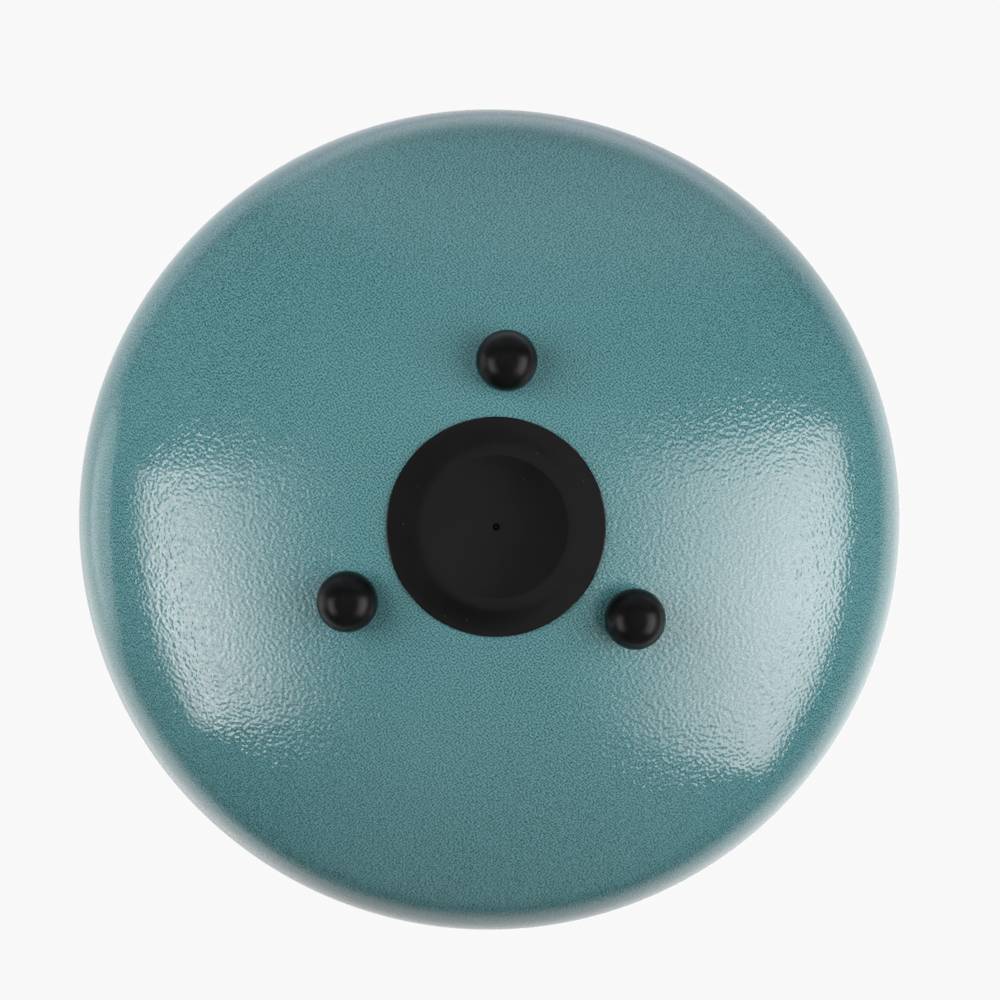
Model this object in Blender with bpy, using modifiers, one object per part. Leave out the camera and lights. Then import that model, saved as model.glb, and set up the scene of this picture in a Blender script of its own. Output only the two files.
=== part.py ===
"""Steel tongue drum, standing on its three ball feet: two pressed domes welded at their rims.

Metres, +Z up. The origin is on the floor under the middle of the drum, and the player sits at -Y.
"""

import math

import bmesh
import bpy
from mathutils import Euler, Matrix, Vector

MM = 0.001
GAP = 0.3 * MM
MERGE_DISTANCE = 0.01 * MM
EMPTY_SIZE = 10.0 * MM

# Domes: both halves are one pressing, a ball-shaped crown that turns into the rim over a knuckle
OUTER_RADIUS = 152.5 * MM
CROWN_RADIUS = 235.0 * MM
KNUCKLE_RADIUS = 37.0 * MM
RIM_LAND = 3.0 * MM
SHEET = 1.6 * MM
DOME_STEPS = 60
CROWN_STEPS = 5
KNUCKLE_STEPS = 5

# Seam: the rims are chamfered outside and the weld fills the groove
WELD_CHAMFER_DEPTH = 1.1 * MM
WELD_CHAMFER_HEIGHT = 1.3 * MM

# Sound hole and its plug
SOUND_HOLE_RADIUS = 35.0 * MM
PLUG_RADIUS = 38.75 * MM
PLUG_EDGE = 1.3 * MM
PLUG_EDGE_ROUND = 0.4 * MM
PLUG_FLANGE_INNER_RADIUS = 32.2 * MM
PLUG_FLANGE_DROP = 0.55 * MM
PLUG_SHOULDER_RADIUS = 29.5 * MM
PLUG_SHOULDER_STEP = 0.7 * MM
PLUG_DISH_DEPTH = 0.45 * MM
PLUG_DISH_STEPS = 3
PLUG_WALL = 2.2 * MM
PLUG_SKIRT_CLEARANCE = 0.45 * MM
PLUG_SKIRT_WALL = 2.2 * MM
PLUG_SKIRT_REACH = 9.5 * MM
PLUG_SKIRT_LEAD = 1.5 * MM
PLUG_STEPS = 48

# Ball feet, each on a stud square to the shell
FOOT_RADIUS = 10.85 * MM
FOOT_STAND_OFF = 8.0 * MM
FOOT_FLAT_DEPTH = 0.5 * MM
FOOT_CIRCLE_RADIUS = 58.5 * MM
FOOT_AZIMUTHS = {"back": 90.0, "left": 210.0, "right": 330.0}
FOOT_STEPS = 24
FOOT_ARC_STEPS = 9

# Stud, washer and nut of one foot
STUD_RADIUS = 3.0 * MM
STUD_HEAD_RADIUS = 5.0 * MM
STUD_HEAD_HEIGHT = 2.4 * MM
STUD_HEAD_DEPTH = 5.0 * MM
STUD_PAST_NUT = 1.5 * MM
WASHER_RADIUS = 6.25 * MM
WASHER_THICKNESS = 1.2 * MM
NUT_ACROSS_FLATS = 10.0 * MM
NUT_HEIGHT = 5.0 * MM
FIXING_STEPS = 16
STUD_HOLE_REACH = 6.0 * MM
SHELL_HOLLOW_ALLOWANCE = 0.2 * MM

# Tongues: lowest at the front, then right and left in turn to the highest at the back
TONGUE_COUNT = 11
TONGUE_ROOT_RADIUS = 50.0 * MM
TONGUE_LONGEST = 78.0 * MM
TONGUE_SHORTEST = 56.0 * MM
TONGUE_END_LARGEST = 18.5 * MM
TONGUE_END_SMALLEST = 14.5 * MM
TONGUE_FLARE = math.radians(9.0)
TONGUE_END_STEPS = 14
FRONT_AZIMUTH = -90.0
SLIT_WIDTH = 1.8 * MM
RELIEF_RADIUS = 1.5 * MM
RELIEF_STEPS = 12
SLIT_CUT_MARGIN = 10.0 * MM

# Heights that follow from these
TANGENT_ANGLE = math.asin((OUTER_RADIUS - KNUCKLE_RADIUS) / (CROWN_RADIUS - KNUCKLE_RADIUS))
CROWN_CENTRE_DROP = (CROWN_RADIUS - KNUCKLE_RADIUS) * math.cos(TANGENT_ANGLE)
DOME_HEIGHT = RIM_LAND + CROWN_RADIUS - CROWN_CENTRE_DROP
FOOT_TILT = math.asin(FOOT_CIRCLE_RADIUS / (CROWN_RADIUS + FOOT_STAND_OFF))
FOOT_CENTRE_BELOW_CROWN_CENTRE = (CROWN_RADIUS + FOOT_STAND_OFF) * math.cos(FOOT_TILT)
LOWER_CROWN_CENTRE_Z = FOOT_RADIUS - FOOT_FLAT_DEPTH + FOOT_CENTRE_BELOW_CROWN_CENTRE
LOWER_POLE_Z = LOWER_CROWN_CENTRE_Z - CROWN_RADIUS
SEAM_Z = LOWER_POLE_Z + DOME_HEIGHT
UPPER_CROWN_CENTRE_Z = SEAM_Z + DOME_HEIGHT - CROWN_RADIUS


def clear_scene():
    for obj in list(bpy.data.objects):
        bpy.data.objects.remove(obj, do_unlink=True)


def new_collection(name):
    collection = bpy.data.collections.new(name)
    bpy.context.scene.collection.children.link(collection)
    return collection


def principled(name, colour, roughness, metallic=0.0):
    material = bpy.data.materials.new(name)
    material.use_nodes = True
    shader = material.node_tree.nodes["Principled BSDF"]
    shader.inputs["Base Color"].default_value = (*colour, 1.0)
    shader.inputs["Roughness"].default_value = roughness
    shader.inputs["Metallic"].default_value = metallic
    return material


def add_object(name, mesh, collection, material=None):
    obj = bpy.data.objects.new(name, mesh)
    collection.objects.link(obj)
    if material:
        mesh.materials.append(material)
    return obj


def add_empty(name, collection, matrix):
    empty = bpy.data.objects.new(name, None)
    empty.empty_display_size = EMPTY_SIZE
    collection.objects.link(empty)
    empty.matrix_world = matrix
    return empty


def turned(name, profile, closed, steps, collection, material):
    """A profile of (radius, height) points turned round Z."""
    edges = [(i, i + 1) for i in range(len(profile) - 1)]
    if closed:
        edges.append((len(profile) - 1, 0))
    mesh = bpy.data.meshes.new(name)
    mesh.from_pydata([(radius, 0.0, height) for radius, height in profile], edges, [])
    obj = add_object(name, mesh, collection, material)
    screw = obj.modifiers.new("Turned", "SCREW")
    screw.steps = steps
    screw.render_steps = steps
    screw.use_merge_vertices = True
    screw.merge_threshold = MERGE_DISTANCE
    screw.use_smooth_shade = True
    return obj


def prism(name, outlines, bottom, top, collection, material=None):
    """Flat outlines extruded from bottom to top; an outline inside another is a hole."""
    curve = bpy.data.curves.new(name, "CURVE")
    curve.dimensions = "2D"
    curve.fill_mode = "BOTH"
    curve.extrude = (top - bottom) / 2
    for outline in outlines:
        spline = curve.splines.new("POLY")
        spline.points.add(len(outline) - 1)
        for point, (x, y) in zip(spline.points, outline):
            point.co = (x, y, 0.0, 1.0)
        spline.use_cyclic_u = True
    drawn = bpy.data.objects.new(name, curve)
    collection.objects.link(drawn)
    mesh = bpy.data.meshes.new_from_object(drawn.evaluated_get(bpy.context.evaluated_depsgraph_get()))
    bpy.data.objects.remove(drawn)
    shape = bmesh.new()
    shape.from_mesh(mesh)
    bmesh.ops.remove_doubles(shape, verts=shape.verts, dist=MERGE_DISTANCE)
    bmesh.ops.translate(shape, verts=shape.verts, vec=(0.0, 0.0, (top + bottom) / 2))
    bmesh.ops.recalc_face_normals(shape, faces=shape.faces)
    shape.to_mesh(mesh)
    shape.free()
    mesh.name = name
    return add_object(name, mesh, collection, material)


def as_cutter(obj):
    obj.hide_render = True
    obj.display_type = "WIRE"
    return obj


def boolean(obj, operation, cutter):
    modifier = obj.modifiers.new(cutter.name, "BOOLEAN")
    modifier.operation = operation
    modifier.solver = "EXACT"
    modifier.object = cutter


def circle(radius, steps, centre=(0.0, 0.0)):
    turns = [2 * math.pi * i / steps for i in range(steps)]
    return [(centre[0] + radius * math.cos(a), centre[1] + radius * math.sin(a)) for a in turns]


def dome_face(inset, hole_radius):
    """(radius, height over the seam) points down one face of a dome, from its middle to the rim land."""
    crown = CROWN_RADIUS - inset
    knuckle = KNUCKLE_RADIUS - inset
    first = math.asin(hole_radius / crown)
    points = []
    for i in range(CROWN_STEPS):
        angle = first + (TANGENT_ANGLE - first) * i / CROWN_STEPS
        height = RIM_LAND - CROWN_CENTRE_DROP + crown * math.cos(angle)
        points.append((crown * math.sin(angle), height))
    for i in range(KNUCKLE_STEPS + 1):
        angle = TANGENT_ANGLE + (math.pi / 2 - TANGENT_ANGLE) * i / KNUCKLE_STEPS
        radius = OUTER_RADIUS - KNUCKLE_RADIUS + knuckle * math.sin(angle)
        points.append((radius, RIM_LAND + knuckle * math.cos(angle)))
    return points


def dome_section(hole_radius):
    """The sheet's section, down its outer face, round the chamfered rim and back up its inner face."""
    rim = [
        (OUTER_RADIUS, GAP / 2 + WELD_CHAMFER_HEIGHT),
        (OUTER_RADIUS - WELD_CHAMFER_DEPTH, GAP / 2),
        (OUTER_RADIUS - SHEET, GAP / 2),
    ]
    return dome_face(0.0, hole_radius) + rim + dome_face(SHEET, hole_radius)[::-1]


def upper_dome(name, collection, material):
    section = [(radius, SEAM_Z + height) for radius, height in dome_section(0.0)]
    return turned(name, section, False, DOME_STEPS, collection, material)


def add_lower_shell(parts, cutters, material):
    section = [(radius, SEAM_Z - height) for radius, height in dome_section(SOUND_HOLE_RADIUS)]
    shell = turned("lower_shell", section[::-1], True, DOME_STEPS, parts, material)
    for place in FOOT_AZIMUTHS:
        hole = prism(
            f"stud_hole_{place}",
            [circle(STUD_RADIUS + GAP, FIXING_STEPS)],
            -STUD_HOLE_REACH,
            STUD_HOLE_REACH,
            cutters,
        )
        hole.matrix_world = foot_frame(place)
        boolean(shell, "DIFFERENCE", as_cutter(hole))


def add_seam_weld(parts, material):
    """A three-cornered ring in the groove between the rims, flush with them."""
    slope = WELD_CHAMFER_HEIGHT / WELD_CHAMFER_DEPTH
    groove_depth = WELD_CHAMFER_DEPTH + GAP / 2 / slope
    depth = groove_depth - GAP / math.sin(math.atan(slope))
    section = [
        (OUTER_RADIUS - depth, SEAM_Z),
        (OUTER_RADIUS, SEAM_Z + depth * slope),
        (OUTER_RADIUS, SEAM_Z - depth * slope),
    ]
    turned("seam_weld", section, True, DOME_STEPS, parts, material)


def add_plug(parts, material):
    """A disc over the sound hole, with a skirt that pushes into it; heights are from the shell's pole.

    The thin flange steps down to a shoulder, and the disc inside the shoulder is slightly dished.
    """

    def shell_rise(radius):
        return CROWN_RADIUS - math.sqrt(CROWN_RADIUS**2 - radius**2)

    skirt = SOUND_HOLE_RADIUS - PLUG_SKIRT_CLEARANCE
    skirt_inner = skirt - PLUG_SKIRT_WALL
    under_skirt = shell_rise(skirt) - GAP
    under_edge = shell_rise(PLUG_RADIUS) - GAP
    edge_face = under_edge - PLUG_EDGE
    flange_face = edge_face - PLUG_FLANGE_DROP
    shoulder_face = flange_face - PLUG_SHOULDER_STEP
    dish = []
    for i in range(PLUG_DISH_STEPS + 1):
        share = 1 - i / PLUG_DISH_STEPS
        dish.append((PLUG_SHOULDER_RADIUS * share, shoulder_face + PLUG_DISH_DEPTH * (1 - share**2)))
    section = [
        (0.0, shoulder_face + PLUG_DISH_DEPTH + PLUG_WALL),
        (skirt_inner, under_skirt),
        (skirt_inner, PLUG_SKIRT_REACH),
        (skirt - GAP, PLUG_SKIRT_REACH),
        (skirt, PLUG_SKIRT_REACH - PLUG_SKIRT_LEAD),
        (skirt, under_skirt),
        (PLUG_RADIUS - PLUG_EDGE_ROUND, under_edge),
        (PLUG_RADIUS, under_edge - PLUG_EDGE_ROUND),
        (PLUG_RADIUS, edge_face + PLUG_EDGE_ROUND),
        (PLUG_RADIUS - PLUG_EDGE_ROUND, edge_face),
        (PLUG_FLANGE_INNER_RADIUS, flange_face),
        *dish,
    ]
    plug = turned("plug", section, False, PLUG_STEPS, parts, material)
    plug.location = (0.0, 0.0, LOWER_POLE_Z)


def foot_frame(place):
    """Frame of one foot: origin on the shell's outer face, local +Z square to the shell and into the drum."""
    azimuth = math.radians(FOOT_AZIMUTHS[place])
    on_shell = Vector((0.0, 0.0, LOWER_CROWN_CENTRE_Z))
    turn = Euler((0.0, -FOOT_TILT, azimuth)).to_matrix()
    on_shell -= turn @ Vector((0.0, 0.0, CROWN_RADIUS))
    return Matrix.Translation(on_shell) @ turn.to_4x4()


def foot_section():
    """Half section of a ball foot: the stud's pocket, the seat on the shell, then round the ball."""
    pocket_radius = STUD_HEAD_RADIUS + GAP
    pocket_top = -STUD_HEAD_DEPTH + GAP
    pocket_floor = -STUD_HEAD_DEPTH - STUD_HEAD_HEIGHT - GAP
    bore = STUD_RADIUS + GAP
    section = [
        (0.0, pocket_floor),
        (pocket_radius, pocket_floor),
        (pocket_radius, pocket_top),
        (bore, pocket_top),
        (bore, -GAP),
    ]
    seat_angle = math.acos((FOOT_STAND_OFF - GAP) / FOOT_RADIUS)
    for i in range(FOOT_ARC_STEPS + 1):
        angle = seat_angle + (math.pi - seat_angle) * i / FOOT_ARC_STEPS
        radius = FOOT_RADIUS * math.sin(angle) if i < FOOT_ARC_STEPS else 0.0
        section.append((radius, -FOOT_STAND_OFF + FOOT_RADIUS * math.cos(angle)))
    return section


def add_feet(parts, cutters, rubber, steel):
    bpy.ops.mesh.primitive_cube_add(size=2 * OUTER_RADIUS, location=(0.0, 0.0, -OUTER_RADIUS))
    floor = as_cutter(bpy.context.object)
    floor.name = "floor"
    for collection in list(floor.users_collection):
        collection.objects.unlink(floor)
    cutters.objects.link(floor)

    washer_base = SHEET + GAP + SHELL_HOLLOW_ALLOWANCE
    nut_base = washer_base + WASHER_THICKNESS + GAP
    stud_top = nut_base + NUT_HEIGHT + STUD_PAST_NUT
    bore = STUD_RADIUS + GAP
    stud_section = [
        (0.0, stud_top),
        (STUD_RADIUS, stud_top),
        (STUD_RADIUS, -STUD_HEAD_DEPTH),
        (STUD_HEAD_RADIUS, -STUD_HEAD_DEPTH),
        (STUD_HEAD_RADIUS, -STUD_HEAD_DEPTH - STUD_HEAD_HEIGHT),
        (0.0, -STUD_HEAD_DEPTH - STUD_HEAD_HEIGHT),
    ]
    washer_section = [
        (bore, washer_base + WASHER_THICKNESS),
        (WASHER_RADIUS, washer_base + WASHER_THICKNESS),
        (WASHER_RADIUS, washer_base),
        (bore, washer_base),
    ]
    nut_corner = NUT_ACROSS_FLATS / 2 / math.cos(math.pi / 6)
    nut_outline = [circle(nut_corner, 6), circle(bore, FIXING_STEPS)]
    for place in FOOT_AZIMUTHS:
        axis = add_empty(f"foot_axis_{place}", parts, foot_frame(place))
        foot = turned(f"foot_{place}", foot_section(), False, FOOT_STEPS, parts, rubber)
        boolean(foot, "DIFFERENCE", floor)
        stud = turned(f"foot_stud_{place}", stud_section, False, FIXING_STEPS, parts, steel)
        washer = turned(f"foot_washer_{place}", washer_section, True, FIXING_STEPS, parts, steel)
        nut = prism(f"foot_nut_{place}", nut_outline, nut_base, nut_base + NUT_HEIGHT, parts, steel)
        for piece in (foot, stud, washer, nut):
            piece.parent = axis


def tongue_azimuth(index):
    """Azimuth of a tongue: 0 is the lowest, at the front; odd ones go to the right, even ones to the left."""
    places = (index + 1) // 2
    side = 1 if index % 2 else -1
    return math.radians(FRONT_AZIMUTH + side * places * 360.0 / TONGUE_COUNT)


def tongue_size(index):
    """Length and end radius of a tongue, shorter and narrower as it sounds higher."""
    share = index / (TONGUE_COUNT - 1)
    length = TONGUE_LONGEST + (TONGUE_SHORTEST - TONGUE_LONGEST) * share
    end_radius = TONGUE_END_LARGEST + (TONGUE_END_SMALLEST - TONGUE_END_LARGEST) * share
    return length, end_radius


def half_width(index, outward, grow=0.0):
    length, end_radius = tongue_size(index)
    narrowing = (length - end_radius - outward) * math.sin(TONGUE_FLARE)
    return (end_radius + grow - narrowing) / math.cos(TONGUE_FLARE)


def on_plan(index, outward, sideways):
    """Plan point a way out from a tongue's root line and to its side."""
    azimuth = tongue_azimuth(index)
    radius = TONGUE_ROOT_RADIUS + outward
    x = radius * math.cos(azimuth) - sideways * math.sin(azimuth)
    y = radius * math.sin(azimuth) + sideways * math.cos(azimuth)
    return x, y


def tongue_outline(index, root, grow):
    """Plan outline: a straight root, sides that flare, and a round end; grow widens it all round."""
    length, end_radius = tongue_size(index)
    root_half = half_width(index, root, grow)
    sweep = math.pi / 2 + TONGUE_FLARE
    points = [on_plan(index, root, -root_half)]
    for i in range(TONGUE_END_STEPS + 1):
        angle = sweep * (2 * i / TONGUE_END_STEPS - 1)
        outward = length - end_radius + (end_radius + grow) * math.cos(angle)
        points.append(on_plan(index, outward, (end_radius + grow) * math.sin(angle)))
    points.append(on_plan(index, root, root_half))
    return points


def hinge_frame(index):
    """Frame on a tongue's root line at mid-sheet: local +X outward, local +Y along the bend line."""
    x, y = on_plan(index, 0.0, 0.0)
    mid_sheet = CROWN_RADIUS - SHEET / 2
    z = UPPER_CROWN_CENTRE_Z + math.sqrt(mid_sheet**2 - TONGUE_ROOT_RADIUS**2)
    return Matrix.Translation((x, y, z)) @ Matrix.Rotation(tongue_azimuth(index), 4, "Z")


def add_upper_shell_and_tongues(parts, cutters, material):
    bottom = SEAM_Z + RIM_LAND
    top = SEAM_Z + DOME_HEIGHT + SLIT_CUT_MARGIN
    tongues = range(TONGUE_COUNT)

    slits = [tongue_outline(i, -GAP / 2, SLIT_WIDTH) for i in tongues]
    slit_cutter = as_cutter(prism("slits", slits, bottom, top, cutters))
    relief_circles = []
    for i in tongues:
        for side in (-1, 1):
            centre = on_plan(i, 0.0, side * half_width(i, 0.0, SLIT_WIDTH / 2))
            relief_circles.append(circle(RELIEF_RADIUS, RELIEF_STEPS, centre))
    relief_cutter = as_cutter(prism("relief_holes", relief_circles, bottom, top, cutters))

    shell = upper_dome("upper_shell", parts, material)
    boolean(shell, "DIFFERENCE", slit_cutter)
    boolean(shell, "DIFFERENCE", relief_cutter)

    for i in tongues:
        name = f"tongue_{i + 1}"
        outline = tongue_outline(i, GAP / 2, 0.0)
        blank = as_cutter(prism(f"{name}_outline", [outline], bottom, top, cutters))
        tongue = upper_dome(name, parts, material)
        boolean(tongue, "INTERSECT", blank)
        boolean(tongue, "DIFFERENCE", relief_cutter)
        hinge = hinge_frame(i)
        tongue.parent = add_empty(f"{name}_hinge", parts, hinge)
        tongue.matrix_parent_inverse = hinge.inverted()


def main():
    clear_scene()
    parts = new_collection("tongue_drum")
    cutters = new_collection("cutters")
    paint = principled("teal_hammer_paint", (0.105, 0.243, 0.258), 0.25)
    rubber = principled("black_rubber", (0.006, 0.006, 0.006), 0.4)
    plug_plastic = principled("black_plug", (0.018, 0.018, 0.017), 0.5)
    steel = principled("zinc_plated_steel", (0.62, 0.62, 0.60), 0.35, 1.0)

    add_lower_shell(parts, cutters, paint)
    add_seam_weld(parts, paint)
    add_plug(parts, plug_plastic)
    add_feet(parts, cutters, rubber, steel)
    add_upper_shell_and_tongues(parts, cutters, paint)


main()
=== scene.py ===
"""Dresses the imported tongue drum: painted domes and tongues, plug, ball feet and their fixings, in a studio.

Metres, +Z up, in the frame of the solids: the drum stands on its feet on z = 0 and the player sits at -Y.
The picture looks up at the base, so the camera is under the floor, which is drawn only from above.
"""

import math
from collections import namedtuple
from types import SimpleNamespace

import bmesh
import bpy
from mathutils import Euler, Matrix, Vector


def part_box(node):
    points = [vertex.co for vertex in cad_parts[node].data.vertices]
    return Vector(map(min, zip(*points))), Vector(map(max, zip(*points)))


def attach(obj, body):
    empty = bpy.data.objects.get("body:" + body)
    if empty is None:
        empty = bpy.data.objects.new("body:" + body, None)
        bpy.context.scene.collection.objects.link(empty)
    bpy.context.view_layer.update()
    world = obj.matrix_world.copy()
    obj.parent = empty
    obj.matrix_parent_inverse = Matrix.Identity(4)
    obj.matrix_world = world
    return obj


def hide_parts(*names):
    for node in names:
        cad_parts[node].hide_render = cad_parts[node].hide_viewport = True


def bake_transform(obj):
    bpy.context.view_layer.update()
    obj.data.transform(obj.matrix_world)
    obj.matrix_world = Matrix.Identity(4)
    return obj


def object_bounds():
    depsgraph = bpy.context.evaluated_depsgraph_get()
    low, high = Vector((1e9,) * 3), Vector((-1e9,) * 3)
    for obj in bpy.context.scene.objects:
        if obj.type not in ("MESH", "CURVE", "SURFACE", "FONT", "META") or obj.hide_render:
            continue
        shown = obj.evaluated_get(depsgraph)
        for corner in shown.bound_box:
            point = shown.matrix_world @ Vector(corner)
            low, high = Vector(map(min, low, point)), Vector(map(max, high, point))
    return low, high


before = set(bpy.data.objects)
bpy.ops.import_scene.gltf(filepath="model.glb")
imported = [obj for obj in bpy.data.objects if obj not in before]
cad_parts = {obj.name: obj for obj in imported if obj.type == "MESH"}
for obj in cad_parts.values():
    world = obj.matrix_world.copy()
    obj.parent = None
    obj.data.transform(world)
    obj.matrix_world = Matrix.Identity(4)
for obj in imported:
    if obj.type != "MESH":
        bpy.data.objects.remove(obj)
SOLIDS_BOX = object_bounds()
WELD_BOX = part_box("seam_weld")

bl_info = {
    "name": "Steel tongue drum",
    "version": (1, 0, 0),
    "blender": (4, 5, 0),
    "location": "3D View > Sidebar > Drum",
    "description": "Builds the visible pieces of a steel tongue drum round its packed solids",
    "category": "Add Mesh",
}

MM = 0.001
SEAM_HEIGHT = (WELD_BOX[0].z + WELD_BOX[1].z) / 2
FOOT_AZIMUTHS = {"back": 90.0, "left": 210.0, "right": 330.0}
SHEET_FACES = ("teal_hammer_paint", "bare_pressed_steel")
GAP = 0.3 * MM
MERGE_DISTANCE = 0.002 * MM
SHARP_ANGLE = math.radians(35.0)
CORNER_ANGLE = 1.0
CROWN_STEPS = 44
KNUCKLE_STEPS = 20
LIP_STEPS = 5
DOME_STEPS = 216


# Sizes and colours


def number(name, description, value, **more):
    return bpy.props.FloatProperty(name=name, description=description, default=value, **more)


def length(name, description, millimetres):
    """A length property, given in millimetres and kept in metres."""
    return number(name, description, millimetres * MM, precision=4, unit="LENGTH")


def angle(name, description, degrees):
    """An angle property, given in degrees and kept in radians."""
    return number(name, description, math.radians(degrees), subtype="ANGLE")


def share(name, description, value, highest=1.0):
    return number(name, description, value, min=0.0, max=highest)


def colour(name, description, red, green, blue):
    return bpy.props.FloatVectorProperty(
        name=name, description=description, default=(red, green, blue), min=0.0, max=1.0, subtype="COLOR"
    )


class DomeSizes(bpy.types.PropertyGroup):
    """The two pressed domes and the weld between them."""

    outer_radius: length("Outer radius", "Radius of the drum at its seam", SOLIDS_BOX[1].x / MM)
    seam_height: length("Seam height", "Height of the seam over the floor", SEAM_HEIGHT / MM)
    crown_radius: length("Crown radius", "Radius of the ball-shaped crown of each dome", 235.0)
    knuckle_radius: length("Knuckle radius", "Radius that turns the crown into the rim", 37.0)
    rim_land: length("Rim land", "Straight part of each rim next to the seam", 3.0)
    sheet: length("Sheet", "Thickness of the steel", 1.6)
    rim_round: length("Rim round", "Rounding of each rim beside the weld", 0.8)
    weld_width: length("Weld width", "Width of the weld bead", 2.4)
    weld_sink: length("Weld sink", "How far the bead lies under the outer radius", 0.12)
    weld_ripple: length("Weld ripple", "Height of the ripples along the bead", 0.07)
    sound_hole_radius: length("Sound hole radius", "Radius of the hole in the base", 35.0)


class PlugSizes(bpy.types.PropertyGroup):
    """The moulded plug in the sound hole."""

    radius: length("Radius", "Radius of the flange", 38.75)
    edge: length("Edge", "Thickness of the flange at its edge", 1.3)
    edge_round: length("Edge round", "Rounding of the flange edge", 0.6)
    flange_inner_radius: length("Flange inner radius", "Where the flange ends", 35.0)
    flange_drop: length("Flange drop", "How far the flange falls towards the shoulder", 0.05)
    shoulder_radius: length("Shoulder radius", "Radius of the raised disc", 27.0)
    shoulder_step: length("Shoulder step", "Height of the step to the disc", 0.85)
    dish_depth: length("Dish depth", "How far the disc is dished", 1.3)
    wall: length("Wall", "Thickness of the disc", 2.2)
    skirt_clearance: length("Skirt clearance", "Gap between skirt and sound hole", 0.45)
    skirt_wall: length("Skirt wall", "Thickness of the skirt", 2.2)
    skirt_reach: length("Skirt reach", "How far the skirt goes in", 9.5)
    skirt_lead: length("Skirt lead", "Length of the lead-in at the end of the skirt", 1.5)
    gate_radius: length("Gate radius", "Radius of the moulding gate's dimple", 1.35)
    gate_depth: length("Gate depth", "Depth of the dimple", 1.0)


class FootSizes(bpy.types.PropertyGroup):
    """The ball feet with their studs, washers and nuts."""

    ball_radius: length("Ball radius", "Radius of a foot", 10.85)
    stand_off: length("Stand-off", "Distance of the ball's centre from the shell", 8.0)
    circle_radius: length("Circle radius", "Radius of the circle that the feet stand on", 58.5)
    seat_gap: length("Seat gap", "Gap between foot and shell", 0.3)
    tread_softness: length("Tread softness", "How softly the ball turns into its flat tread", 0.3)
    stud_radius: length("Stud radius", "Outer radius of the stud's thread", 3.0)
    thread_pitch: length("Thread pitch", "Pitch of the stud's thread", 1.0)
    thread_depth: length("Thread depth", "Depth of the stud's thread", 0.55)
    head_radius: length("Head radius", "Radius of the stud's moulded-in head", 5.0)
    head_height: length("Head height", "Height of the stud's head", 2.4)
    head_depth: length("Head depth", "Depth of the head below the shell", 5.0)
    washer_radius: length("Washer radius", "Outer radius of the washer", 6.25)
    washer_thickness: length("Washer thickness", "Thickness of the washer", 1.2)
    nut_width: length("Nut width", "Width of the nut across its flats", 10.0)
    nut_height: length("Nut height", "Height of the nut", 5.0)
    past_nut: length("Past the nut", "Stud length that stands out of the nut", 1.5)


class TongueSizes(bpy.types.PropertyGroup):
    """The sounding tongues, lowest at the front, then right and left in turn to the highest at the back."""

    count: bpy.props.IntProperty(name="Count", description="Number of tongues", default=11, min=1)
    root_radius: length("Root radius", "Distance of the root lines from the drum's axis", 50.0)
    longest: length("Longest", "Length of the lowest tongue", 78.0)
    shortest: length("Shortest", "Length of the highest tongue", 56.0)
    end_largest: length("Largest end", "End radius of the lowest tongue", 18.5)
    end_smallest: length("Smallest end", "End radius of the highest tongue", 14.5)
    flare: angle("Flare", "Angle that each side opens towards the end", 9.0)
    slit: length("Slit", "Width of the slit round a tongue", 1.8)
    relief_radius: length("Relief radius", "Radius of the holes that end each slit", 1.5)
    edge_round: length("Edge round", "Rounding of the painted edges", 0.3)
    bend_length: length("Bend length", "Length next to the root that bends when the tongue sounds", 16.0)


class Finish(bpy.types.PropertyGroup):
    """Colours and surfaces."""

    paint_light: colour("Paint, light", "Lighter tone of the hammer paint", 0.119, 0.292, 0.328)
    paint_dark: colour("Paint, dark", "Darker tone, in the veins of the hammer paint", 0.017, 0.088, 0.078)
    paint_roughness: share("Paint roughness", "Roughness of the paint's skin", 0.06)
    paint_peel: length("Paint peel", "Height of the orange peel in the paint", 0.21)
    plug_black: colour("Plug black", "Colour of the plug", 0.0025, 0.0025, 0.0024)
    rubber_black: colour("Rubber black", "Colour of the feet", 0.0026, 0.0026, 0.0026)
    dust: colour("Dust", "Colour of dust on black pieces", 0.16, 0.16, 0.15)
    bare_steel: colour("Bare steel", "Colour of the unpainted inner faces", 0.30, 0.29, 0.28)
    zinc: colour("Zinc", "Colour of the plated fixings", 0.62, 0.62, 0.60)


class Studio(bpy.types.PropertyGroup):
    """Camera, floor and light."""

    camera_distance: length("Camera distance", "Distance of the camera from the drum's middle", 1300.0)
    camera_lens: number("Lens", "Focal length of the camera", 125.5, unit="CAMERA")
    camera_lean: angle("Camera lean", "Angle of the camera off the drum's axis", 2.42)
    camera_side: angle("Camera side", "Azimuth towards which the camera leans", 45.0)
    camera_roll: angle("Camera roll", "Turn of the picture round its middle", 3.5)
    aim_right: length("Aim right", "How far right of the drum's middle the camera aims", 3.65)
    aim_up: length("Aim up", "How far above the drum's middle the camera aims", 7.52)
    backdrop: colour("Backdrop", "What the camera sees behind the drum", 0.94, 0.94, 0.94)
    floor_tone: colour("Floor", "Colour of the floor", 0.45, 0.45, 0.45)
    room_light: share("Room light", "Brightness of the room, next to the backdrop's", 0.14, 10.0)
    table_light: share("Table light", "Brightness of the table behind the drum", 1.05, 10.0)
    softbox_distance: length("Softbox distance", "Distance of the softboxes from the drum", 1000.0)
    softbox_power: share("Softbox power", "Brightness of the softboxes' hottest part", 8.8, 50.0)
    softbox_tone: colour("Softbox tone", "Colour of the softboxes' light", 1.0, 0.91, 0.91)
    fill_power: number("Fill power", "Power of a fill light", 10.9, unit="POWER")


# Shader maths


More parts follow.
